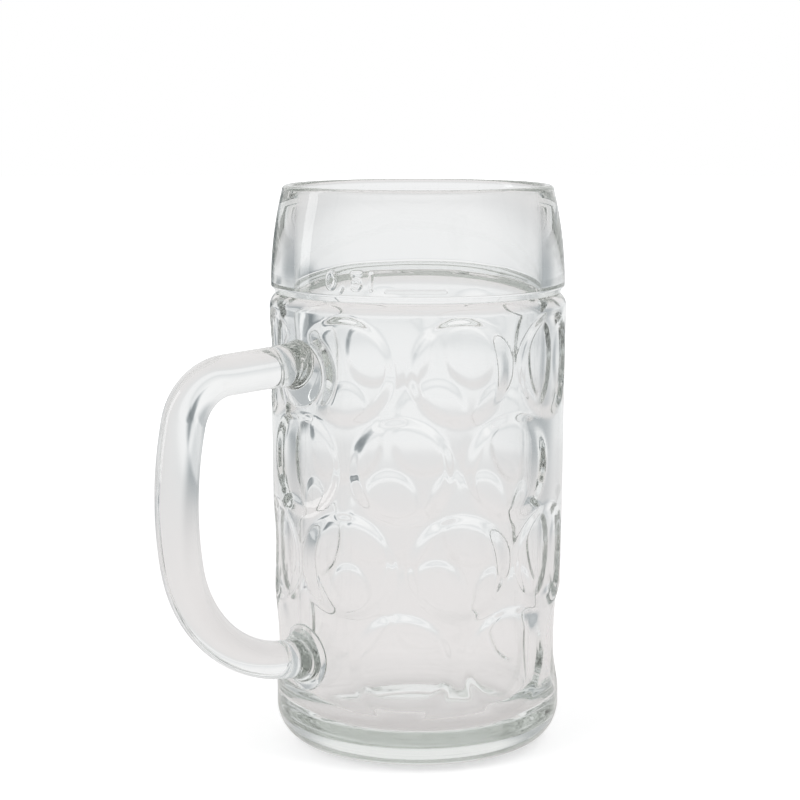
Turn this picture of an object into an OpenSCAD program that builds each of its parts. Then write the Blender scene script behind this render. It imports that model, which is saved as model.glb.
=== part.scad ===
// Dimpled glass beer mug, half a litre: a pressed vessel and the handle fused on to it.
// The origin is the centre of the base, on the plane the mug stands on, and the handle lies along -X.

/* [Vessel] */
// Height from the table to the top of the lip
height = 163; // [155:1:175]
// Diameter over the ribs between the dimples
body_d = 86; // [84:0.5:92]
// Diameter just above the rounded heel
foot_d = 82.8; // [80:0.2:84]
// Diameter of the smooth drinking band at its lower edge
band_d = 85; // [80:0.5:88]
// Diameter over the lip
lip_d = 78.4; // [76.8:0.2:82]
// Height of the drinking band above the groove
band_h = 30.8; // [26:0.2:36]
// How deep the groove under the band is cut in from the ribs
groove_depth = 2.3; // [1.2:0.1:3]
// How far the band's lower edge stands above the bottom of the groove
groove_rise = 1.4; // [0.8:0.1:2.5]
// Radius of the shoulder that rolls over into the groove
shoulder_r = 4.5; // [3.5:0.1:6]
// Radius of the heel between the wall and the base
heel_r = 11.5; // [8:0.5:14]

/* [Inside and base] */
// Thickness of the glass at the lip
lip_t = 3; // [2:0.1:4.4]
// Thickness of the glass at the neck behind the groove
neck_t = 4.8; // [3.6:0.1:6]
// Thickness of the wall over the ribs at the floor
wall_t = 6.4; // [5.4:0.1:9]
// Thickness of the glass under the drink
floor_t = 9; // [6:0.5:14]
// Radius between the inside wall and the floor
floor_r = 12; // [6:0.5:18]
// Width of the ring that the mug stands on
ring_w = 2.5; // [1.5:0.1:5]
// How far the base is pushed up inside that ring
push_up = 1.5; // [0.6:0.1:3]

/* [Dimples] */
// Dimples in each row around the mug
dimple_columns = 8; // [7:1:9]
// Rows of dimples
dimple_rows = 4; // [3:1:4]
// Height of the lowest row's centres
lowest_row_z = 31; // [28:0.5:33]
// Height from one row to the next
row_pitch = 27.5; // [25:0.5:28]
// Diameter of a dimple at the wall's surface
dimple_d = 31; // [26:0.5:32]
// Diameter of the disc at the bottom of a dimple
disc_d = 25.5; // [20:0.5:27]
// Depth of a dimple
dimple_depth = 2.3; // [1:0.1:3]

/* [Handle] */
// How far the grip's middle line stands off the ribs
grip_out = 40.7; // [34:0.5:48]
// Height at which the grip stands out furthest
grip_z = 78.4; // [70:0.5:84]
// Bend radius of the long grip
grip_bend_r = 102; // [85:1:140]
// Bend radius at the top of the handle
top_bend_r = 15.5; // [12:0.5:22]
// Bend radius at the foot of the handle
low_bend_r = 37; // [28:0.5:44]
// Slope of both arms in degrees
arm_slope = 3.5; // [0:0.5:8]
// How far each joint lies outside the row of dimples it stands in
joint_spread = 0.9; // [0:0.1:2]
// Thickness of the grip at the top, seen from the side
handle_t = 11.6; // [9:0.2:14]
// Width of the grip at the top, seen from the front
handle_w = 14; // [11:0.2:17]
// Thickness and width at the foot as a share of those at the top
handle_taper_share = 0.93; // [0.8:0.01:1]
// Radius of each root where it lies on the wall
root_r = 10; // [8.5:0.1:11]
// Length over which a root flares on to the wall
root_len = 7; // [4:0.5:10]
// How far the hot glass of the top root has sagged down the wall
top_root_sag = 3; // [0:0.5:4]

/* [Hidden] */

glass_colour = [0.85, 0.90, 0.88];
handle_colour = [0.80, 0.87, 0.85];
$fn = 96;

// How far every cut runs past what it cuts
overrun = 1;

body_r = body_d / 2;
foot_r = foot_d / 2;
band_r = band_d / 2;
lip_r = lip_d / 2;
groove_r = body_r - groove_depth;

// The inside follows the outside at the lip, at the neck and at the floor
bore_r = lip_r - lip_t;
bore_neck_r = min(groove_r, band_r) - neck_t;
bore_floor_r = foot_r - wall_t;

lip_round = lip_t / 2;
lip_z = height - lip_round;
groove_z = height - band_h;
band_z = groove_z + groove_rise;
shoulder_turn = acos((groove_r - body_r + shoulder_r) / shoulder_r);
shoulder_z = groove_z - shoulder_r * sin(shoulder_turn);
ring_out_r = foot_r - heel_r;
ring_in_r = ring_out_r - ring_w;
dome_r = (ring_in_r * ring_in_r + push_up * push_up) / (2 * push_up);

column_turn = 360 / dimple_columns;
top_row = dimple_rows - 1;

top_joint_z = row_z(top_row) + joint_spread;
low_joint_z = row_z(0) - joint_spread;
grip_r = body_r + grip_out;

round_steps = 8;
band_steps = 12;
path_steps = 14;
ring_sides = 32;

// Points of an arc in the plane, from one angle to another
function arc_points(centre, r, from, to, steps) =
    [for (i = [0 : steps]) let (a = from + (to - from) * i / steps) centre + r * [cos(a), sin(a)]];

function mix(from, to, share) = from + (to - from) * share;

// Outer radius of the wall at a height in the dimpled part
function wall_r(z) = mix(foot_r, body_r, (z - heel_r) / (shoulder_z - heel_r));

// How far the wall leans outwards over the length of a round thing that lies on it
function lean(d) = abs(wall_r(d / 2) - wall_r(-d / 2));

// Height of a row's centres, counted from the lowest
function row_z(row) = lowest_row_z + row * row_pitch;

// The band swells gently: its radius falls with the square of the height above its lower edge
function band_point(share) =
    [mix(band_r, lip_r, share * share), mix(band_z, lip_z, share)];

// Outside of the vessel from the standing ring up to the lip
function outer_points() = concat(
    [[0, 0]],
    arc_points([foot_r - heel_r, heel_r], heel_r, -90, 0, round_steps),
    arc_points([body_r - shoulder_r, shoulder_z], shoulder_r, 0, shoulder_turn, round_steps),
    [for (i = [0 : band_steps]) band_point(i / band_steps)],
    arc_points([lip_r - lip_round, lip_z], lip_round, 0, 90, round_steps),
    [[0, height]]);

// Inside of the vessel, from the floor up past the lip
function inner_points() = concat(
    [[0, floor_t]],
    arc_points([bore_floor_r - floor_r, floor_t + floor_r], floor_r, -90, 0, round_steps),
    [[bore_neck_r, groove_z]],
    arc_points([bore_r + lip_round, lip_z], lip_round, 180, 90, round_steps),
    [[bore_r + lip_round, height + overrun], [0, height + overrun]]);

// The vessel's outside as one solid, before the dimples and the inside are cut
module outer_form() {
    rotate_extrude() polygon(outer_points());
}

// What cuts one dimple: a disc with a sloping edge, long enough to pass right through the wall's surface
module dimple(row) {
    disc_wall = wall_r(row_z(row)) - dimple_depth;
    disc_r = disc_d / 2;
    flare = (dimple_d - disc_d) / 2 / dimple_depth;
    reach = dimple_depth + lean(dimple_d) + overrun;
    sag = disc_wall - sqrt(disc_wall * disc_wall - disc_r * disc_r);
    sink = sag + lean(disc_d) + overrun;
    translate([disc_wall, 0, row_z(row)])
        rotate([0, 90, 0])
            union() {
                cylinder(h = reach, r1 = disc_r, r2 = disc_r + flare * reach);
                translate([0, 0, -sink])
                    cylinder(h = sink, r = disc_r);
            }
}

// What no dimple cuts: the wall's own form, one dimple's depth further in
module core() {
    from = row_z(0) - dimple_d / 2 - overrun;
    to = row_z(top_row) + dimple_d / 2 + overrun;
    translate([0, 0, from])
        cylinder(h = to - from, r1 = wall_r(from) - dimple_depth, r2 = wall_r(to) - dimple_depth);
}

// The place where a root of the handle sits: the dimples stop short of it
module seat(z) {
    clear = lean(2 * root_r) + overrun;
    translate([-wall_r(z) - clear, 0, z])
        rotate([0, 90, 0])
            cylinder(h = wall_t + clear, r = root_r);
}

// Every second row is turned by half a column, and the lowest makes room for the handle's low joint
module dimples() {
    difference() {
        for (row = [0 : top_row], column = [0 : dimple_columns - 1])
            if (row > 0 || column > 0)
                rotate([0, 0, 180 + column_turn * (column + (row % 2) / 2)])
                    dimple(row);
        core();
        seat(top_joint_z - top_root_sag);
        seat(low_joint_z);
    }
}

module push_up_dome() {
    translate([0, 0, push_up - dome_r])
        sphere(r = dome_r);
}

module vessel() {
    color(glass_colour)
        difference() {
            outer_form();
            rotate_extrude() polygon(inner_points());
            push_up_dome();
            dimples();
        }
}

// Centre of the bend that joins an arm to the grip: it lies inside the arm by the bend's
// radius, and inside the grip's arc by the difference of the two radii
function bend_centre(joint_z, up, bend_r) =
    let (
        grip_centre = [grip_r - grip_bend_r, grip_z],
        along = [cos(arm_slope), -up * sin(arm_slope)],
        inward = [-sin(arm_slope), -up * cos(arm_slope)],
        line = [body_r, joint_z] + bend_r * inward,
        foot = line + ((grip_centre - line) * along) * along,
        gap = norm(grip_centre - foot)
    )
    foot + sqrt(pow(grip_bend_r - bend_r, 2) - gap * gap) * along;

// The middle line as [out from the axis, height] points, from the top root to the low one
function handle_path() =
    let (
        grip_centre = [grip_r - grip_bend_r, grip_z],
        top_centre = bend_centre(top_joint_z, 1, top_bend_r),
        low_centre = bend_centre(low_joint_z, -1, low_bend_r),
        top_turn = atan2(top_centre.y - grip_centre.y, top_centre.x - grip_centre.x),
        low_turn = atan2(low_centre.y - grip_centre.y, low_centre.x - grip_centre.x),
        top_bend = arc_points(top_centre, top_bend_r, 90 - arm_slope, top_turn, path_steps),
        grip = arc_points(grip_centre, grip_bend_r, top_turn, low_turn, path_steps),
        low_bend = arc_points(low_centre, low_bend_r, low_turn, arm_slope - 90, path_steps)
    )
    concat(
        arm_points(top_joint_z, 1, top_bend[0], false),
        top_bend,
        [for (i = [1 : path_steps - 1]) grip[i]],
        low_bend,
        arm_points(low_joint_z, -1, low_bend[path_steps], true));

// Points along a straight arm, closer together where its root flares. It starts inside the wall,
// whose own surface then trims it
function arm_points(joint_z, up, bend_end, inward) =
    let (
        start_r = wall_r(joint_z) - wall_t / 2,
        start = [start_r, joint_z + up * (body_r - start_r) * tan(arm_slope)],
        share_of = function (i) pow(i / round_steps, 1.5)
    )
    [for (k = [0 : round_steps - 1])
        let (i = inward ? round_steps - 1 - k : k) mix(start, bend_end, share_of(i))];

// How much of its flare a root has at a point: all of it at the wall, none past the root's length
function flare_share(place) =
    pow(max(0, min(1, (wall_r(place.y) + root_len - place.x) / root_len)), 2);

// One oval ring of points square to the middle line
function ring_points(path, i) =
    let (
        last = len(path) - 1,
        ahead = path[min(last, i + 1)] - path[max(0, i - 1)],
        along = ahead / norm(ahead),
        across = [-along.y, along.x],
        place = path[i],
        flare = flare_share(place),
        up_share = max(0, min(1, (place.y - low_joint_z) / (top_joint_z - low_joint_z))),
        size_share = mix(handle_taper_share, 1, up_share),
        half_t = mix(handle_t / 2 * size_share, root_r, flare),
        half_w = mix(handle_w / 2 * size_share, root_r, flare),
        sag = top_root_sag * flare * up_share
    )
    [for (k = [0 : ring_sides - 1])
        let (
            a = 360 * k / ring_sides,
            p = place + half_t * cos(a) * across
        )
        [-p.x, half_w * sin(a), p.y - sag]];

// A solid through a list of rings that all have the same number of points
module loft(rings) {
    sides = len(rings[0]);
    last = len(rings) - 1;
    walls = [for (i = [0 : last - 1], k = [0 : sides - 1])
        let (n = (k + 1) % sides)
        [i * sides + k, (i + 1) * sides + k, (i + 1) * sides + n, i * sides + n]];
    start_cap = [for (k = [0 : sides - 1]) k];
    end_cap = [for (k = [sides - 1 : -1 : 0]) last * sides + k];
    polyhedron(
        points = [for (ring = rings) each ring],
        faces = concat(walls, [start_cap, end_cap]),
        convexity = 4);
}

// The handle's oval bar, with its two roots trimmed to lie on the vessel's wall
module handle() {
    path = handle_path();
    color(handle_colour)
        difference() {
            loft([for (i = [0 : len(path) - 1]) ring_points(path, i)]);
            outer_form();
        }
}

vessel();
handle();
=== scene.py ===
# Dimpled glass beer mug: the looks of its two pieces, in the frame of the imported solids.
# Angles are in degrees. Lengths are in millimetres, and in metres in the stage's dictionary.
import math

import bpy
import numpy as np
from mathutils import Matrix, Vector


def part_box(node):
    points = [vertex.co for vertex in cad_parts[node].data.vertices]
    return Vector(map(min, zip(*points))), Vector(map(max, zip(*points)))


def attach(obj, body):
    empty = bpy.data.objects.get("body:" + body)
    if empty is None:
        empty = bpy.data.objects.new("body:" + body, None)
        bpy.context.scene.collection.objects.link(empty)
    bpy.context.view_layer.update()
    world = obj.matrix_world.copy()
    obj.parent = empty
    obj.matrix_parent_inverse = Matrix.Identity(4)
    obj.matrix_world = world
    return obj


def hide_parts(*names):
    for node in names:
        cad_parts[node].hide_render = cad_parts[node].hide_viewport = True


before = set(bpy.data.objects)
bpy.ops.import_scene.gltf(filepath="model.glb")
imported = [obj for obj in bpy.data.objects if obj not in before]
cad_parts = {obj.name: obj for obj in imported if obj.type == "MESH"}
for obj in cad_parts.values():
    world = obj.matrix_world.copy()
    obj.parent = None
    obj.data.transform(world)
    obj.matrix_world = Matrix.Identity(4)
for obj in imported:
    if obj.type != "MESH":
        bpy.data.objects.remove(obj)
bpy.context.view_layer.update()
mm = 0.001
print("frame loaded:", sorted(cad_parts))

# The camera of the photo, found from the mug's outline
photoView = {
    "azimuth": -38.8,
    "distance": 672.0,
    "height": 193.2,
    "pitch": 7.87,
    "yaw": 0.44,
    "focalPixels": 2328.0,
    "imagePixels": 800.0,
    "sensorWidth": 36.0,
    "clip": (0.01, 50),  # in metres
}
viewTurn = math.radians(photoView["azimuth"])
viewAhead = (-math.sin(viewTurn), math.cos(viewTurn), 0)
viewRight = (math.cos(viewTurn), math.sin(viewTurn), 0)

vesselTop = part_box("vessel")[1]
handleAngle = 180  # the handle stands on the side of -x

vesselSizes = {
    "height": vesselTop.z / mm,
    "bodyRadius": vesselTop.y / mm,
    "footRadius": 41.4,
    "bandRadius": 42.5,
    "lipRadius": 39.2,
    "bandHeight": 30.8,
    "bandEdge": 0.8,
    "grooveDepth": 2.3,
    "grooveRise": 1.4,
    "grooveRound": 0.7,
    "shoulderRound": 4.5,
    "heelRound": 11.5,
    "lipThickness": 3.0,
    "neckThickness": 4.8,
    "wallThickness": 6.4,
    "floorThickness": 9.0,
    "floorRound": 12.0,
    "ringWidth": 2.5,
    "pushUp": 1.5,
    # From which angle to which each rounded edge turns, counted from straight out
    "bends": {"edge": (-90, -4), "groove": (200, 270), "lip": (12, 90), "lipInside": (110, 180)},
    "dimples": {
        "columns": 8,
        "rows": 4,
        "lowestRow": 31.0,
        "rowPitch": 27.5,
        "discRadius": 11.8,
        "rimRadius": 15.6,
        "step": 0.7,
        "hollow": 0.9,
        "leftOut": ((0, 0), (2, 3), (2, 7)),  # row and column: the low root, and the mould's seams
        "seatRadius": 10.0,
        "seatBlend": 4.0,
    },
    "mark": {
        "turn": -12.5,  # a little left of the side that faces the camera
        "halfSector": 26.0,
        "strokeHalfWidth": 0.32,
        "strokeSoftness": 1.5,
        "relief": 0.24,
        "lineHeight": 135.8,
        "line": (0.6, 16.9),
        "digitLow": 136.1,
        "digitHeight": 4.3,
        "digitWidth": 2.6,
        "zeroAt": -16.0,
        "commaAt": (-12.4, 0.2),
        "commaEnd": (-12.9, -0.9),
        "fiveAt": -8.1,
        "fiveBowl": (130, -140),
        "bowlShare": 0.3,
        "barShare": 0.4,
        "litreAt": -3.7,
    },
    "waves": {
        "height": 0.06,
        "count": 6,
        "turns": (2, 9),  # round the mug, from the first to under the second
        "rise": (0.03, 0.12),  # radians to a millimetre of height
        "phase": (0, 6.28),  # radians
        "outsideSeed": 3,
        "insideSeed": 5,
        "heelFade": 4,
        "grooveFade": 5,
        "lipFade": 12,
        "flatFloor": 20,  # the radius inside which the floor has none
    },
    # How many steps each stretch of the profiles and each turn round the mug takes
    "steps": {
        "dome": 7, "bend": 14, "shoulder": 20, "edge": 9, "lip": 7, "lipInside": 5, "markBand": 22,
        "band": 14, "neck": 6, "bore": 24, "floor": 8, "markColumns": 129, "plainColumns": 249,
        "zero": 24, "bowl": 13,
    },
    "markShare": 0.26,  # the lower part of the band, where the mark needs more points
    "insideStep": 3,  # outer columns to each inside one, so the columns above add up to a multiple of it
    "wallStart": 0.8,
    "wallEnd": 0.5,
    "fineReach": 1.6,
    "fineStep": 0.4,
    "plainStep": 1.05,
    "waveScale": 60.0,  # of the noise, to a metre
}

bodyRadius, footRadius = vesselSizes["bodyRadius"], vesselSizes["footRadius"]
bandRadius, lipRadius = vesselSizes["bandRadius"], vesselSizes["lipRadius"]
heelRound, bandEdge = vesselSizes["heelRound"], vesselSizes["bandEdge"]
shoulderRound, grooveRound = vesselSizes["shoulderRound"], vesselSizes["grooveRound"]
floorRound, floorTop = vesselSizes["floorRound"], vesselSizes["floorThickness"]
dimples, mark = vesselSizes["dimples"], vesselSizes["mark"]
bends, steps = vesselSizes["bends"], vesselSizes["steps"]
markMiddle = photoView["azimuth"] - 90 + mark["turn"]

lipRound = vesselSizes["lipThickness"] / 2
lipHeight = vesselSizes["height"] - lipRound
grooveRadius = bodyRadius - vesselSizes["grooveDepth"]
grooveHeight = vesselSizes["height"] - vesselSizes["bandHeight"]
bandLow = grooveHeight + vesselSizes["grooveRise"]
shoulderTurn = math.degrees(math.acos((grooveRadius - bodyRadius + shoulderRound) / shoulderRound))
shoulderHeight = grooveHeight - shoulderRound * math.sin(math.radians(shoulderTurn))
ringOut = footRadius - heelRound
ringIn = ringOut - vesselSizes["ringWidth"]
boreLip = lipRadius - vesselSizes["lipThickness"]
boreNeck = grooveRadius - vesselSizes["neckThickness"]
boreFloor = footRadius - vesselSizes["wallThickness"]


def smoothStep(value):
    # Three times the square less twice the cube, held between 0 and 1
    value = np.clip(value, 0, 1)
    return value * value * (3 - 2 * value)


def mixed(low, high, share):
    # The low value and a share of the way to the high one
    return low + (high - low) * share


def wrapped(angle):
    # The same angle between -180 and 180
    return (angle + 180) % 360 - 180


def arc(centre, radius, start, end, count):
    # Points at a radius from a centre, at even angles in degrees
    turn = np.radians(np.linspace(start, end, count + 1))
    return np.column_stack([centre[0] + radius * np.cos(turn), centre[1] + radius * np.sin(turn)])


def run(start, end, count):
    # Points at even shares of a straight stretch, without its two ends
    share = np.linspace(0, 1, count + 1)[1:-1, None]
    return (1 - share) * np.array(start) + share * np.array(end)


def rowHeight(row):
    # Rows of dimples stand one pitch apart
    return dimples["lowestRow"] + row * dimples["rowPitch"]


def wallRadius(height):
    # The wall over the ribs is a slight cone between heel and shoulder
    share = (height - heelRound) / (shoulderHeight - heelRound)
    return mixed(footRadius, bodyRadius, share)


def wallHeights():
    # Each height is a step above the last: a fine one near the steep upper and lower edges of a row of
    # dimples, and a plain one elsewhere
    edge = (dimples["discRadius"] + dimples["rimRadius"]) / 2
    heights = [heelRound + vesselSizes["wallStart"]]
    while heights[-1] < shoulderHeight - vesselSizes["wallEnd"]:
        near = min(abs(abs(heights[-1] - rowHeight(row)) - edge) for row in range(dimples["rows"]))
        fine = near < vesselSizes["fineReach"]
        heights.append(heights[-1] + vesselSizes["fineStep" if fine else "plainStep"])
    return np.array(heights[:-1])


def outerProfile():
    # Radius and height from the middle of the underside to the top of the lip: a parabola under the base,
    # the wall's cone, a band whose radius falls with the square of the way up, and arcs between them
    domeShare = np.linspace(0, 1, steps["dome"] + 1)[1:, None]
    dome = np.hstack([ringIn * domeShare, vesselSizes["pushUp"] * (1 - domeShare ** 2)])
    heel = arc((ringOut, heelRound), heelRound, -90, 0, steps["bend"])
    heights = wallHeights()[:, None]
    wall = np.hstack([wallRadius(heights), heights])
    shoulder = arc((bodyRadius - shoulderRound, shoulderHeight), shoulderRound, 0, shoulderTurn,
                   steps["shoulder"])
    groove = arc((grooveRadius + grooveRound, grooveHeight + grooveRound), grooveRound,
                 *bends["groove"], steps["edge"])[:-1]
    edge = arc((bandRadius - bandEdge, bandLow + bandEdge), bandEdge, *bends["edge"], steps["edge"])
    markShare = vesselSizes["markShare"]
    bandShare = np.concatenate([np.linspace(0, markShare, steps["markBand"] + 1),
                                np.linspace(markShare, 1, steps["band"] + 1)[1:]])[:, None]
    band = np.hstack([mixed(bandRadius, lipRadius, bandShare ** 2),
                      mixed(bandLow + bandEdge, lipHeight, bandShare)])
    lip = arc((lipRadius - lipRound, lipHeight), lipRound, *bends["lip"], steps["lip"])
    return np.vstack([dome, heel, wall, shoulder, groove, edge, band, lip])


def innerProfile():
    # Radius and height from the top of the lip to the floor: straight runs with an arc at lip and floor
    lip = arc((boreLip + lipRound, lipHeight), lipRound, *bends["lipInside"], steps["lipInside"])
    neck = [boreNeck, grooveHeight]
    bend = arc((boreFloor - floorRound, floorTop + floorRound), floorRound, 0, -90, steps["bend"])
    share = np.linspace(1, 0, steps["floor"] + 1)[1:-1, None]
    floor = np.hstack([bend[-1, 0] * share, np.full_like(share, floorTop)])
    return np.vstack([lip, run(lip[-1], neck, steps["neck"]), [neck],
                      run(neck, bend[0], steps["bore"]), bend, floor])


def markStrokes():
    # The figures 0 , 5 l and the fill line as open lines of points, along and up the band. The 0 is an
    # ellipse, and the 5 a bar joined to part of another
    half, tall, low = mark["digitWidth"] / 2, mark["digitHeight"], mark["digitLow"]
    turn = np.radians(np.linspace(0, 360, steps["zero"] + 1))
    zero = np.column_stack([mark["zeroAt"] + half * np.cos(turn),
                            low + tall / 2 + tall / 2 * np.sin(turn)])
    comma = np.array([mark["commaAt"], mark["commaEnd"]]) + [0, low]
    turn = np.radians(np.linspace(*mark["fiveBowl"], steps["bowl"] + 1))
    bowlRise = tall * mark["bowlShare"]
    bowl = np.column_stack([mark["fiveAt"] + half * np.cos(turn), low + bowlRise + bowlRise * np.sin(turn)])
    barStart = mark["fiveAt"] - mark["digitWidth"] * mark["barShare"]
    five = np.vstack([[mark["fiveAt"] + half, low + tall], [barStart, low + tall], bowl])
    litre = np.array([[mark["litreAt"], low + tall], [mark["litreAt"], low]])
    fillLine = np.array([[end, mark["lineHeight"]] for end in mark["line"]])
    return [zero, comma, five, litre, fillLine]


def strokeDistance(along, up, points):
    # Least distance from each place to a line: to the nearest point of each of its straight parts
    best = np.full(along.shape, np.inf)
    for start, end in zip(points[:-1], points[1:]):
        part = end - start
        share = np.clip(((along - start[0]) * part[0] + (up - start[1]) * part[1]) / (part @ part), 0, 1)
        best = np.minimum(best, np.hypot(along - start[0] - share * part[0],
                                         up - start[1] - share * part[1]))
    return best


def markRelief(angle, height):
    # Full relief near a stroke's middle, falling by a smooth step to nothing past its edge
    along = np.radians(wrapped(angle - markMiddle)) * bandRadius
    near = np.full(along.shape, np.inf)
    for points in markStrokes():
        near = np.minimum(near, strokeDistance(along, height, points))
    return mark["relief"] * smoothStep(mark["strokeSoftness"] - near / mark["strokeHalfWidth"])


def seatMask(angle, height, footprint):
    # 1 where a root of the handle sits, and a smooth step down to 0 round it
    along = np.radians(wrapped(angle - handleAngle)) * wallRadius(footprint)
    away = np.hypot(along, height - footprint)
    return 1 - smoothStep((away - dimples["seatRadius"]) / dimples["seatBlend"])


def dimpleDepth(angle, height):
    # Each dimple is a shallow bowl, a parabola over the distance from its middle, inside a smooth step.
    # One makes room for the handle's low root, and two would lie on the seams, where the photo has none
    cut = np.zeros(angle.shape)
    rim = dimples["rimRadius"]
    for row in range(dimples["rows"]):
        for column in range(dimples["columns"]):
            if (row, column) in dimples["leftOut"]:
                continue
            middle = handleAngle + 360 / dimples["columns"] * (column + (row % 2) / 2)
            along = np.radians(wrapped(angle - middle)) * wallRadius(rowHeight(row))
            away = np.hypot(along, height - rowHeight(row))
            edge = (rim - away) / (rim - dimples["discRadius"])
            bowl = np.clip(1 - (away / rim) ** 2, 0, 1)
            cut = cut + dimples["step"] * smoothStep(edge) + dimples["hollow"] * bowl
    for footprint in footprints:
        cut = cut * (1 - seatMask(angle, height, footprint))
    return cut


def unevenness(angle, height, seed):
    # The slow unevenness of pressed glass: the mean of a few sine waves round and up the wall
    waves = vesselSizes["waves"]
    source = np.random.default_rng(seed)
    total = np.zeros(angle.shape)
    for _ in range(waves["count"]):
        turns = source.integers(*waves["turns"])
        rise = source.uniform(*waves["rise"])
        phase = source.uniform(*waves["phase"])
        total = total + np.sin(np.radians(angle) * turns + height * rise + phase)
    return waves["height"] * total / waves["count"]


def columnAngles():
    # Even angles round the mug, closer together across the mark
    half = mark["halfSector"]
    fine = np.linspace(-half, half, steps["markColumns"], endpoint=False)
    plain = np.linspace(half, 360 - half, steps["plainColumns"], endpoint=False)
    return np.concatenate([fine, plain]) + markMiddle


def revolved(profile, angles):
    # The profile's radius and height at every angle, as whole grids
    angle = np.broadcast_to(angles, (len(profile), len(angles)))
    radius = np.broadcast_to(profile[:, 0:1], angle.shape)
    height = np.broadcast_to(profile[:, 1:2], angle.shape)
    return angle, radius, height


def placed(angle, radius, height):
    # Points at an angle and a radius round the axis
    turn = np.radians(angle)
    return np.stack([radius * np.cos(turn), radius * np.sin(turn), height], axis=-1).reshape(-1, 3)


def ringFaces(rows, columns, first=0):
    # Quads between rings of points that close on themselves
    row, column = np.meshgrid(np.arange(rows - 1), np.arange(columns), indexing="ij")
    here = first + row * columns + column
    beside = first + row * columns + (column + 1) % columns
    return np.stack([here, beside, beside + columns, here + columns], axis=-1).reshape(-1, 4).tolist()


def fan(pole, ring, turned=False):
    # Triangles from a pole to each side of a closed ring, facing the other way when turned
    beside = np.roll(ring, -1)
    corners = (beside, ring) if turned else (ring, beside)
    return np.column_stack([np.full(len(ring), pole), *corners]).tolist()


def meshObject(name, points, faces, smooth=True):
    # A mesh in metres from points in millimetres
    mesh = bpy.data.meshes.new(name)
    mesh.from_pydata((points * mm).tolist(), [], faces)
    mesh.validate()
    mesh.polygons.foreach_set("use_smooth", np.full(len(mesh.polygons), smooth))
    obj = bpy.data.objects.new(name, mesh)
    bpy.context.scene.collection.objects.link(obj)
    return obj


def makeVessel():
    # Both profiles turned about the axis. The outside gives way at the dimples and stands out at the mark.
    # Both are slightly uneven, the outside only inwards, and a ring of triangles joins them at the lip
    waves, step = vesselSizes["waves"], vesselSizes["insideStep"]
    angles = columnAngles()
    columns, few = len(angles), len(angles[::step])
    outer, inner = outerProfile(), innerProfile()
    angle, radius, height = revolved(outer, angles)
    fade = (smoothStep((height - heelRound) / waves["heelFade"])
            * smoothStep((grooveHeight - height) / waves["grooveFade"]))
    radius = (radius - dimpleDepth(angle, height) + markRelief(angle, height)
              - fade * (waves["height"] + unevenness(angle, height, waves["outsideSeed"])))
    outerPoints = placed(angle, radius, height)
    angle, radius, height = revolved(inner, angles[::step])
    fade = smoothStep((lipHeight - height) / waves["lipFade"]) * (radius > waves["flatFloor"])
    radius = radius + unevenness(angle, height, waves["insideSeed"]) * fade
    innerPoints = placed(angle, radius, height)
    poles = np.array([[0, 0, vesselSizes["pushUp"]], [0, 0, floorTop]])
    points = np.vstack([outerPoints, innerPoints, poles])

    outerCount = len(outerPoints)
    faces = ringFaces(len(outer), columns) + ringFaces(len(inner), few, outerCount)
    # At the lip every third outer column meets one inside column
    here = outerCount + np.arange(few)
    beside = np.roll(here, -1)
    across = [outerCount - columns + (np.arange(few) * step + i) % columns for i in range(step + 1)]
    lip = [[here, across[0], across[1]], [here, across[1], across[2]],
           [here, across[2], beside], [across[2], across[3], beside]]
    faces += np.transpose(lip, (2, 0, 1)).reshape(-1, 3).tolist()
    faces += fan(len(points) - 2, np.arange(columns), turned=True)
    faces += fan(len(points) - 1, outerCount + (len(inner) - 1) * few + np.arange(few))
    return meshObject("vesselGlass", points, faces)


handleSizes = {
    "gripOut": 40.7,
    "gripHeight": 78.4,
    "gripBend": 102.0,
    "topBend": 15.5,
    "lowBend": 37.0,
    "armSlope": 3.5,
    "jointSpread": 0.9,
    "thickness": 11.6,
    "width": 14.0,
    "taperShare": 0.93,
    "rootRadius": 9.6,
    "rootSag": (3.0, 0.0),  # top and low
    "filletLength": 6.0,
    "filletPower": 2.5,
    "seatDepth": 0.6,
    "seatShare": 0.94,
    "sides": 100,
    "arcSteps": 240,
    "armSteps": 12,
    "filletSteps": 20,
    "waveScale": 80.0,  # of the noise, to a metre
}

armSlope = math.radians(handleSizes["armSlope"])
gripCentre = np.array([bodyRadius + handleSizes["gripOut"] - handleSizes["gripBend"],
                       handleSizes["gripHeight"]])
topJoint = rowHeight(dimples["rows"] - 1) + handleSizes["jointSpread"]
lowJoint = rowHeight(0) - handleSizes["jointSpread"]
footprints = (topJoint - handleSizes["rootSag"][0], lowJoint - handleSizes["rootSag"][1])


def bendCentre(joint, up, bendRadius):
    # The middle of an arc that touches the straight arm, and the grip's arc from inside
    along = np.array([math.cos(armSlope), -up * math.sin(armSlope)])
    inward = np.array([-math.sin(armSlope), -up * math.cos(armSlope)])
    line = np.array([bodyRadius, joint]) + bendRadius * inward
    foot = line + ((gripCentre - line) @ along) * along
    gap = np.linalg.norm(gripCentre - foot)
    return foot + math.sqrt((handleSizes["gripBend"] - bendRadius) ** 2 - gap ** 2) * along


def armStart(joint, up):
    # Where the straight arm leaves the flare of its root, out from the wall and up its slope
    out = wallRadius(joint) + handleSizes["filletLength"]
    return np.array([out, joint + up * (bodyRadius - out) * math.tan(armSlope)])


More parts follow.
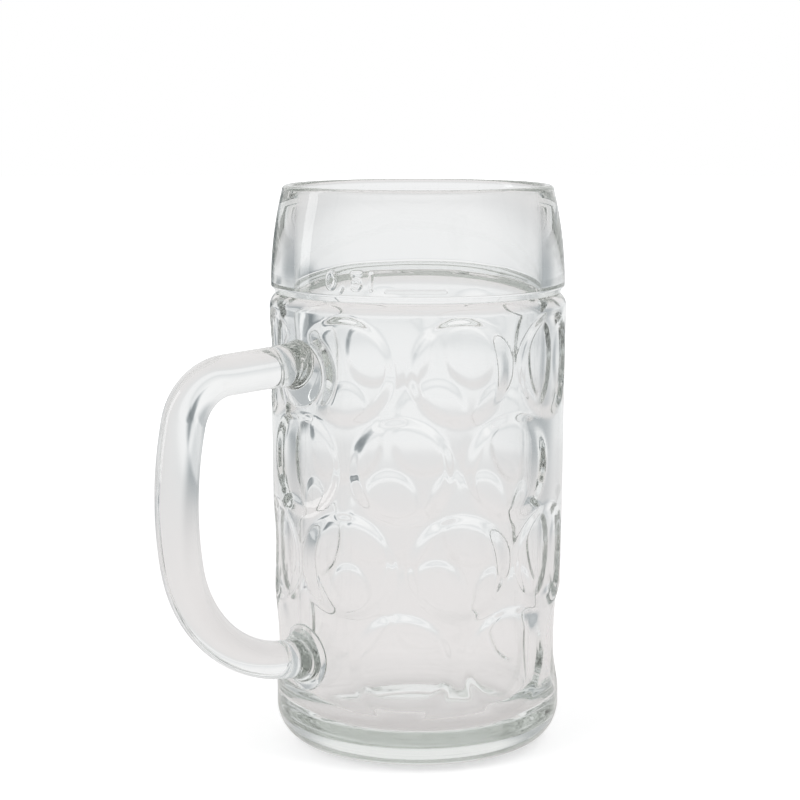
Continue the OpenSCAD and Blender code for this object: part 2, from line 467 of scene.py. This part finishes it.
def handlePath():
    # The middle line from the top root to the low one, out from the axis and up: arm, bend, grip, bend
    # and arm
    slope, count, armCount = handleSizes["armSlope"], handleSizes["arcSteps"], handleSizes["armSteps"]
    topCentre = bendCentre(topJoint, 1, handleSizes["topBend"])
    lowCentre = bendCentre(lowJoint, -1, handleSizes["lowBend"])
    topTurn = math.degrees(math.atan2(*(topCentre - gripCentre)[::-1]))
    lowTurn = math.degrees(math.atan2(*(lowCentre - gripCentre)[::-1]))
    topBend = arc(topCentre, handleSizes["topBend"], 90 - slope, topTurn, count // 2)
    grip = arc(gripCentre, handleSizes["gripBend"], topTurn, lowTurn, count)[1:-1]
    lowBend = arc(lowCentre, handleSizes["lowBend"], lowTurn, slope - 90, count // 2)
    topStart, lowStart = armStart(topJoint, 1), armStart(lowJoint, -1)
    return np.vstack([topStart, run(topStart, topBend[0], armCount), topBend, grip, lowBend,
                      run(lowBend[-1], lowStart, armCount), lowStart])


def rootRings(ring, tangent, footprint):
    # The bar runs on to the wall, and a power of the way there turns it into a round footprint on the
    # wall's curve. A last, smaller ring lies behind it
    turn = np.linspace(0, 2 * np.pi, len(ring), endpoint=False)
    y = handleSizes["rootRadius"] * np.sin(turn)
    z = footprint + handleSizes["rootRadius"] * np.cos(turn)
    onWall = np.column_stack([-np.sqrt(wallRadius(z) ** 2 - y ** 2), y, z])
    wallBehind = -np.sqrt(wallRadius(ring[:, 2]) ** 2 - ring[:, 1] ** 2)
    straight = ring + tangent * ((wallBehind - ring[:, 0]) / tangent[0])[:, None]
    rings = [ring + (straight - ring) * share + (onWall - straight) * share ** handleSizes["filletPower"]
             for share in np.linspace(0, 1, handleSizes["filletSteps"] + 1)[1:]]
    middle = np.array([0, 0, footprint])
    seat = middle + (onWall - middle) * np.array([1, handleSizes["seatShare"], handleSizes["seatShare"]])
    return rings + [seat + np.array([handleSizes["seatDepth"], 0, 0])]


def makeHandle():
    # An oval carried along the middle line, square to it, a little thinner towards the low root
    path, sides = handlePath(), handleSizes["sides"]
    ahead = np.gradient(path, axis=0)
    ahead = ahead / np.linalg.norm(ahead, axis=1)[:, None]
    across = np.column_stack([-ahead[:, 1], ahead[:, 0]])
    share = np.clip((path[:, 1] - lowJoint) / (topJoint - lowJoint), 0, 1)
    taper = mixed(handleSizes["taperShare"], 1, share)[:, None]
    turn = np.linspace(0, 2 * np.pi, sides, endpoint=False)
    thick = handleSizes["thickness"] / 2 * taper * np.cos(turn)
    wide = handleSizes["width"] / 2 * taper * np.sin(turn)
    rings = np.stack([-(path[:, 0:1] + thick * across[:, 0:1]), wide,
                      path[:, 1:2] + thick * across[:, 1:2]], axis=-1)
    topRoot = rootRings(rings[0], np.array([ahead[0, 0], 0, -ahead[0, 1]]), footprints[0])
    # The low root's ring is numbered from its lowest point, so it is turned over and back
    mirrored = (sides // 2 - np.arange(sides)) % sides
    lowTangent = np.array([-ahead[-1, 0], 0, ahead[-1, 1]])
    lowRoot = [ring[mirrored] for ring in rootRings(rings[-1][mirrored], lowTangent, footprints[1])]
    allRings = topRoot[::-1] + list(rings) + lowRoot
    points = np.vstack(allRings + [[allRings[0].mean(axis=0)], [allRings[-1].mean(axis=0)]])
    count = len(allRings)
    faces = ringFaces(count, sides)
    faces += fan(count * sides, np.arange(sides), turned=True)
    faces += fan(count * sides + 1, (count - 1) * sides + np.arange(sides))
    return meshObject("handleGlass", points, faces)


def addNode(tree, kind, **values):
    # A node with its properties, or the inputs of those names, set
    node = tree.nodes.new(kind)
    for key, value in values.items():
        if hasattr(node, key):
            setattr(node, key, value)
        else:
            node.inputs[key].default_value = value
    return node


def feed(tree, sockets, values):
    # Each input takes a link from another node, a plain value, or nothing
    for socket, value in zip(sockets, values):
        if isinstance(value, bpy.types.NodeSocket):
            tree.links.new(value, socket)
        elif value is not None:
            socket.default_value = value


def maths(tree, operation, first, *others):
    # Maths nodes in a row: the operation joins the first value with each of the others
    for second in others or (None,):
        node = addNode(tree, "ShaderNodeMath", operation=operation)
        feed(tree, node.inputs, (first, second))
        first = node.outputs[0]
    return first


def vectors(tree, operation, first, second=None):
    # A vector maths node, whose result is a number for a dot product and a length
    node = addNode(tree, "ShaderNodeVectorMath", operation=operation)
    feed(tree, node.inputs, (first, second))
    return node.outputs["Value" if operation in ("DOT_PRODUCT", "LENGTH") else "Vector"]


def ramp(tree, value, ends, low=0.0, high=1.0):
    # A smooth step from the low result at the first end to the high one at the second
    node = addNode(tree, "ShaderNodeMapRange", interpolation_type="SMOOTHSTEP")
    names = ("Value", "From Min", "From Max", "To Min", "To Max")
    feed(tree, [node.inputs[name] for name in names], (value, *ends, low, high))
    return node.outputs[0]


def blend(tree, share, first, second):
    # The first value, and a share of the way to the second
    node = addNode(tree, "ShaderNodeMix", data_type="FLOAT")
    feed(tree, (node.inputs[0], node.inputs[2], node.inputs[3]), (share, first, second))
    return node.outputs[0]


def newGroup(name, inputs, outputs):
    # A node group with named sockets, each of the kind Float or Vector
    group = bpy.data.node_groups.new(name, "ShaderNodeTree")
    for direction, sockets in (("INPUT", inputs), ("OUTPUT", outputs)):
        for label, kind in sockets.items():
            group.interface.new_socket(label, in_out=direction, socket_type="NodeSocket" + kind)
    return group, group.nodes.new("NodeGroupInput"), group.nodes.new("NodeGroupOutput")


def useGroup(tree, name, **values):
    # A node group placed in a material with its own values
    node = addNode(tree, "ShaderNodeGroup", node_tree=bpy.data.node_groups[name])
    for label, value in values.items():
        node.inputs[label].default_value = value
    return node


glassSettings = {
    "ior": 1.52,
    "surfaceColour": (1.0, 1.0, 1.0, 1),
    "absorptionColour": (0.67, 0.705, 0.66, 1),
    "absorptionDensity": 6.5,
    "bumpDistance": 0.0004,  # in metres
    "bumpStrength": 0.1,
    "waveDetail": 1.0,
    "smudgeDetail": 3.0,
    "smudgeScale": 55.0,
    "smudgeRoughness": 0.03,
    "smudgeLevel": 0.55,
    "clearOfBore": 1.5,
    "pastEverything": 100.0,
}


def firePolishGroup():
    # The skin of fire-polished glass: slow noise for its waviness, and the peaks of finer noise as the
    # faint change of gloss that handling leaves
    group, start, end = newGroup("firePolish", {"waveScale": "Float", "smudgeScale": "Float",
                                                "smudgeRoughness": "Float", "smudgeLevel": "Float"},
                                 {"height": "Float", "roughness": "Float"})
    place = group.nodes.new("ShaderNodeTexCoord")
    wave = addNode(group, "ShaderNodeTexNoise", Detail=glassSettings["waveDetail"])
    smudge = addNode(group, "ShaderNodeTexNoise", Detail=glassSettings["smudgeDetail"])
    for node, scale in ((wave, "waveScale"), (smudge, "smudgeScale")):
        group.links.new(place.outputs["Object"], node.inputs["Vector"])
        group.links.new(start.outputs[scale], node.inputs["Scale"])
    peaks = maths(group, "MAXIMUM", maths(group, "SUBTRACT", smudge.outputs["Fac"],
                                          start.outputs["smudgeLevel"]), 0.0)
    group.links.new(wave.outputs["Fac"], end.inputs["height"])
    group.links.new(maths(group, "MULTIPLY", peaks, start.outputs["smudgeRoughness"]),
                    end.inputs["roughness"])


def rootFootprintGroup():
    # 1 inside the round footprint of one of the handle's roots, where the two glasses are one: nearer to
    # its middle than the root's radius, and between two distances from the axis
    group, start, end = newGroup("rootFootprint", {"jointHeight": "Float", "rootRadius": "Float",
                                                   "leastRadius": "Float", "mostRadius": "Float"},
                                 {"inside": "Float"})
    place = group.nodes.new("ShaderNodeTexCoord")
    split = group.nodes.new("ShaderNodeSeparateXYZ")
    group.links.new(place.outputs["Object"], split.inputs[0])
    x, y, z = split.outputs
    up = maths(group, "SUBTRACT", z, start.outputs["jointHeight"])
    across = maths(group, "MULTIPLY", y, y)
    away = maths(group, "SQRT", maths(group, "ADD", across, maths(group, "MULTIPLY", up, up)))
    out = maths(group, "SQRT", maths(group, "ADD", across, maths(group, "MULTIPLY", x, x)))
    near = maths(group, "LESS_THAN", away, start.outputs["rootRadius"])
    above = maths(group, "GREATER_THAN", out, start.outputs["leastRadius"])
    below = maths(group, "LESS_THAN", out, start.outputs["mostRadius"])
    handleSide = maths(group, "LESS_THAN", x, 0.0)
    group.links.new(maths(group, "MULTIPLY", near, handleSide, above, below), end.inputs["inside"])


def glassMaterial(name, waveScale, hiddenRadii):
    # Clear glass that absorbs a little, with a see-through footprint at each root
    material = bpy.data.materials.new(name)
    material.use_nodes = True
    tree = material.node_tree
    shader = tree.nodes["Principled BSDF"]
    shader.inputs["Base Color"].default_value = glassSettings["surfaceColour"]
    shader.inputs["IOR"].default_value = glassSettings["ior"]
    shader.inputs["Transmission Weight"].default_value = 1.0
    polish = useGroup(tree, "firePolish", waveScale=waveScale, smudgeScale=glassSettings["smudgeScale"],
                      smudgeRoughness=glassSettings["smudgeRoughness"],
                      smudgeLevel=glassSettings["smudgeLevel"])
    bump = addNode(tree, "ShaderNodeBump", Distance=glassSettings["bumpDistance"],
                   Strength=glassSettings["bumpStrength"])
    tree.links.new(polish.outputs["height"], bump.inputs["Height"])
    tree.links.new(bump.outputs["Normal"], shader.inputs["Normal"])
    tree.links.new(polish.outputs["roughness"], shader.inputs["Roughness"])
    seen = 1.0
    for footprint, (least, most) in zip(footprints, hiddenRadii):
        foot = useGroup(tree, "rootFootprint", jointHeight=footprint * mm,
                        rootRadius=handleSizes["rootRadius"] * mm, leastRadius=least * mm,
                        mostRadius=most * mm)
        seen = maths(tree, "SUBTRACT", seen, foot.outputs["inside"])
    tree.links.new(seen, shader.inputs["Alpha"])
    absorb = addNode(tree, "ShaderNodeVolumeAbsorption", Color=glassSettings["absorptionColour"],
                     Density=glassSettings["absorptionDensity"])
    tree.links.new(absorb.outputs[0], tree.nodes["Material Output"].inputs["Volume"])
    return material


firePolishGroup()
rootFootprintGroup()
# Between these distances from the axis each glass is left out at the roots: the vessel's outer wall,
# and the handle's end behind it
outerWall = [(boreLip + glassSettings["clearOfBore"], glassSettings["pastEverything"]) for _ in footprints]
rootEnds = [(0, wallRadius(footprint) - handleSizes["seatDepth"] / 2) for footprint in footprints]

vessel = makeVessel()
vessel.data.materials.append(glassMaterial("vesselGlassFinish", vesselSizes["waveScale"], outerWall))
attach(vessel, "root")
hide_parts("vessel")
print("vessel made:", len(vessel.data.polygons), "faces")

handle = makeHandle()
handle.data.materials.append(glassMaterial("handleGlassFinish", handleSizes["waveScale"], rootEnds))
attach(handle, "root")
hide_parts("handle")
print("handle made:", len(handle.data.polygons), "faces")

# The stage: levels are shares of white, and a pair gives where a change starts and where it is complete
stageSettings = {
    "tableRadius": 4.0,
    "tableSides": 128,
    "tableDrop": 0.00005,
    "tableRoughness": 0.9,
    "tableColour": 0.86,
    "tableGlow": 0.45,
    # Close to the mug, glass sees a share of the paper's real shading and a low, slightly warm glow, a
    # painted shadow
    "nearShare": 0.45,
    "nearShadowGlow": 0.47,
    "nearShadowTint": (1.045, 1.0, 0.99),
    "farGlow": 0.96,
    "farRamp": (0.10, 0.78),
    # The glare is a painted pool of light on the paper behind the mug, seen only through glass
    "glareRise": 0.11,
    "glareWidth": (40.0, 22.0),
    "glareReach": (0.50, 0.66),
    "glareEnd": (2.2, 0.9),
    "mugMiddle": 0.085,  # the height from which glass looks out at the paper
    "roomLight": 0.5,
    "roomFront": 0.84,
    "roomTop": 0.86,
    "darkPowers": (1.08, 1.0, 0.96),
    "skyAngles": (-2.0, 6.0),
    "skyGain": 1.14,
    "topAngles": (15.0, 45.0),
    # Flags at the sides: start, end and amount of each change, by the angle from ahead to the right
    "flags": ((-130.0, -85.0, -0.42), (-46.0, -25.0, 0.40), (26.0, 48.0, -0.34), (80.0, 130.0, 0.36)),
    # Panels behind at the left: middle, slant, half-width inside and outside, and change of level
    "panels": ((-19.5, 0.9, 3.0, 10.0, -0.60), (-54.0, 0.0, 16.0, 26.0, 0.30)),
    "panelFoot": (-6.0, -4.2),
    "panelHead": (7.0, 2.0),
    "lampDistance": 0.9,
    # Azimuth, elevation, watts, width, height, and whether it shows as a highlight
    "lamps": {
        "softboxLeft": (-100, 40, 2.5, 0.7, 0.7, False),
        "softboxRight": (30, 50, 2.5, 0.7, 0.7, False),
        "stripLeft": (-135, 12, 0.9, 0.17, 0.9, True),
    },
    "bounces": {"max_bounces": 32, "transmission_bounces": 24, "glossy_bounces": 24,
                "transparent_max_bounces": 16},
}


def sines(angles):
    # Heights of unit directions at these elevations
    return [math.sin(math.radians(angle)) for angle in angles]


def surroundGroup():
    # What glass sees of the studio in a direction. Round the horizon the level is a sum of smooth steps
    # at the flags' edges, above the horizon it gains a little, and overhead it is one level
    group, start, end = newGroup("studioSurround", {"direction": "Vector"}, {"level": "Float"})
    flat = vectors(group, "NORMALIZE", vectors(group, "MULTIPLY", start.outputs[0], (1, 1, 0)))
    angle = maths(group, "ARCTAN2", vectors(group, "DOT_PRODUCT", flat, viewRight),
                  vectors(group, "DOT_PRODUCT", flat, viewAhead))
    split = group.nodes.new("ShaderNodeSeparateXYZ")
    group.links.new(vectors(group, "NORMALIZE", start.outputs[0]), split.inputs[0])
    rise = split.outputs["Z"]
    level = stageSettings["roomFront"]
    for first, last, change in stageSettings["flags"]:
        level = maths(group, "ADD", level,
                      ramp(group, angle, (math.radians(first), math.radians(last)), 0.0, change))
    sky = ramp(group, rise, sines(stageSettings["skyAngles"]), 1.0, stageSettings["skyGain"])
    overhead = ramp(group, rise, sines(stageSettings["topAngles"]))
    level = blend(group, overhead, maths(group, "MULTIPLY", level, sky), stageSettings["roomTop"])
    # Tall slanted panels on the horizon draw the dark and the light streak in the grip
    shade = 0.0
    for middle, slant, inner, outer, change in stageSettings["panels"]:
        turned = maths(group, "SUBTRACT", angle, maths(group, "MULTIPLY", rise, slant))
        off = maths(group, "ABSOLUTE", maths(group, "SUBTRACT", turned, math.radians(middle)))
        panel = ramp(group, off, (math.radians(inner), math.radians(outer)), change, 0.0)
        shade = maths(group, "ADD", panel, shade)
    foot = ramp(group, rise, sines(stageSettings["panelFoot"]))
    head = ramp(group, rise, sines(stageSettings["panelHead"]))
    group.links.new(maths(group, "ADD", level, maths(group, "MULTIPLY", shade, foot, head)),
                    end.inputs["level"])


def colourFrom(tree, levels):
    # A colour whose red, green and blue are the three levels
    colour = tree.nodes.new("ShaderNodeCombineColor")
    for socket, level in zip(colour.inputs, levels):
        tree.links.new(level, socket)
    return colour.outputs[0]


def tableMaterial():
    # Pale paper. Seen through glass it is darker close to the mug: a share of its real shading under a low
    # glow that paints a shadow there.
    # Far off it runs into the surround, with a painted pool of light straight behind the mug
    material = bpy.data.materials.new("tablePaper")
    material.use_nodes = True
    tree = material.node_tree
    shader = tree.nodes["Principled BSDF"]
    shader.inputs["Roughness"].default_value = stageSettings["tableRoughness"]
    shader.inputs["Specular IOR Level"].default_value = 0.0
    shader.inputs["Emission Strength"].default_value = 1.0
    path = tree.nodes.new("ShaderNodeLightPath")
    place = tree.nodes.new("ShaderNodeTexCoord").outputs["Object"]
    bent = maths(tree, "MAXIMUM", path.outputs["Is Glossy Ray"], path.outputs["Is Transmission Ray"])
    away = vectors(tree, "LENGTH", place)
    far = ramp(tree, away, stageSettings["farRamp"])
    near = maths(tree, "SUBTRACT", 1.0, far)
    paper = maths(tree, "ADD", maths(tree, "MULTIPLY", bent, near, stageSettings["nearShare"]),
                  maths(tree, "SUBTRACT", 1.0, bent))
    grey = maths(tree, "MULTIPLY", paper, stageSettings["tableColour"])
    tree.links.new(colourFrom(tree, [grey] * 3), shader.inputs["Base Color"])

    surround = useGroup(tree, "studioSurround")
    tree.links.new(vectors(tree, "ADD", place, (0, 0, -stageSettings["mugMiddle"])), surround.inputs[0])
    # A painted pool of light on the paper straight behind the mug, shown only to rays that glass bends
    behind = vectors(tree, "DOT_PRODUCT", vectors(tree, "NORMALIZE", place), viewAhead)
    width = [math.cos(math.radians(angle)) for angle in stageSettings["glareWidth"]]
    glare = maths(tree, "MULTIPLY", ramp(tree, behind, width, 0.0, stageSettings["glareRise"]),
                  ramp(tree, away, stageSettings["glareReach"]),
                  ramp(tree, away, stageSettings["glareEnd"]))
    beyond = maths(tree, "ADD", maths(tree, "MULTIPLY", surround.outputs[0], stageSettings["farGlow"]),
                   glare)
    direct = maths(tree, "MULTIPLY", path.outputs["Is Camera Ray"],
                   maths(tree, "MAXIMUM", far, stageSettings["tableGlow"]))
    levels = []
    # What glass sees: a painted shadow close to the mug, and far off the surround with the painted pool of
    # light
    for power, tint in zip(stageSettings["darkPowers"], stageSettings["nearShadowTint"]):
        glow = maths(tree, "ADD", maths(tree, "MULTIPLY", near, stageSettings["nearShadowGlow"] * tint),
                     maths(tree, "MULTIPLY", far, maths(tree, "POWER", beyond, power)))
        levels.append(maths(tree, "ADD", maths(tree, "MULTIPLY", bent, glow), direct))
    tree.links.new(colourFrom(tree, levels), shader.inputs["Emission Color"])
    return material


def makeTable():
    # A round table top just under the mug, as one face
    rim = arc((0, 0), stageSettings["tableRadius"] / mm, 0, 360, stageSettings["tableSides"])[:-1]
    points = np.column_stack([rim, np.full(len(rim), -stageSettings["tableDrop"] / mm)])
    table = meshObject("table", points, [list(range(len(rim)))], smooth=False)
    table.data.materials.append(tableMaterial())


def makeWorld():
    # White to the camera, the surround to rays that glass bends, and an even light to everything else
    world = bpy.data.worlds.new("studio")
    bpy.context.scene.world = world
    world.use_nodes = True
    tree = world.node_tree
    path = tree.nodes.new("ShaderNodeLightPath")
    place = tree.nodes.new("ShaderNodeTexCoord")
    surround = useGroup(tree, "studioSurround")
    tree.links.new(place.outputs["Generated"], surround.inputs[0])
    bent = maths(tree, "MAXIMUM", path.outputs["Is Glossy Ray"], path.outputs["Is Transmission Ray"])
    levels = []
    for power in stageSettings["darkPowers"]:
        dark = maths(tree, "POWER", surround.outputs[0], power)
        level = blend(tree, bent, stageSettings["roomLight"], dark)
        levels.append(maths(tree, "MAXIMUM", level, path.outputs["Is Camera Ray"]))
    background = tree.nodes["Background"]
    tree.links.new(colourFrom(tree, levels), background.inputs["Color"])
    background.inputs["Strength"].default_value = 1.0


def makeLamp(name, azimuth, elevation, power, width, height, mirrored):
    # A soft lamp at the common distance from the mug's middle, turned towards it
    data = bpy.data.lights.new(name, "AREA")
    data.shape = "RECTANGLE"
    data.size, data.size_y = width, height
    data.energy = power
    lamp = bpy.data.objects.new(name, data)
    bpy.context.scene.collection.objects.link(lamp)
    lamp.visible_glossy = mirrored
    lamp.visible_transmission = False
    turn, rise = math.radians(azimuth), math.radians(elevation)
    back = Vector((math.sin(turn) * math.cos(rise), -math.cos(turn) * math.cos(rise), math.sin(rise)))
    target = Vector((0, 0, vesselSizes["height"] * mm / 2))
    place = target + back * stageSettings["lampDistance"]
    lamp.matrix_world = Matrix.Translation(place) @ back.to_track_quat("Z", "Y").to_matrix().to_4x4()


def makeCamera():
    # The photo's camera, a little turned and tipped from the line to the mug's axis
    toward = Vector(viewAhead)
    place = -toward * photoView["distance"] * mm + Vector((0, 0, photoView["height"] * mm))
    toward.rotate(Matrix.Rotation(math.radians(photoView["yaw"]), 3, "Z"))
    pitch = math.radians(photoView["pitch"])
    look = toward * math.cos(pitch) - Vector((0, 0, math.sin(pitch)))
    data = bpy.data.cameras.new("photoCamera")
    data.sensor_width = photoView["sensorWidth"]
    data.lens = photoView["focalPixels"] / photoView["imagePixels"] * data.sensor_width
    data.clip_start, data.clip_end = photoView["clip"]
    camera = bpy.data.objects.new("photoCamera", data)
    camera.matrix_world = Matrix.Translation(place) @ look.to_track_quat("-Z", "Y").to_matrix().to_4x4()
    bpy.context.scene.collection.objects.link(camera)
    bpy.context.scene.camera = camera


surroundGroup()
makeTable()
makeWorld()
for lampName, values in stageSettings["lamps"].items():
    makeLamp(lampName, *values)
makeCamera()
scene = bpy.context.scene
scene.view_settings.view_transform = "Standard"
for setting, value in stageSettings["bounces"].items():
    setattr(scene.cycles, setting, value)
print("stage made")
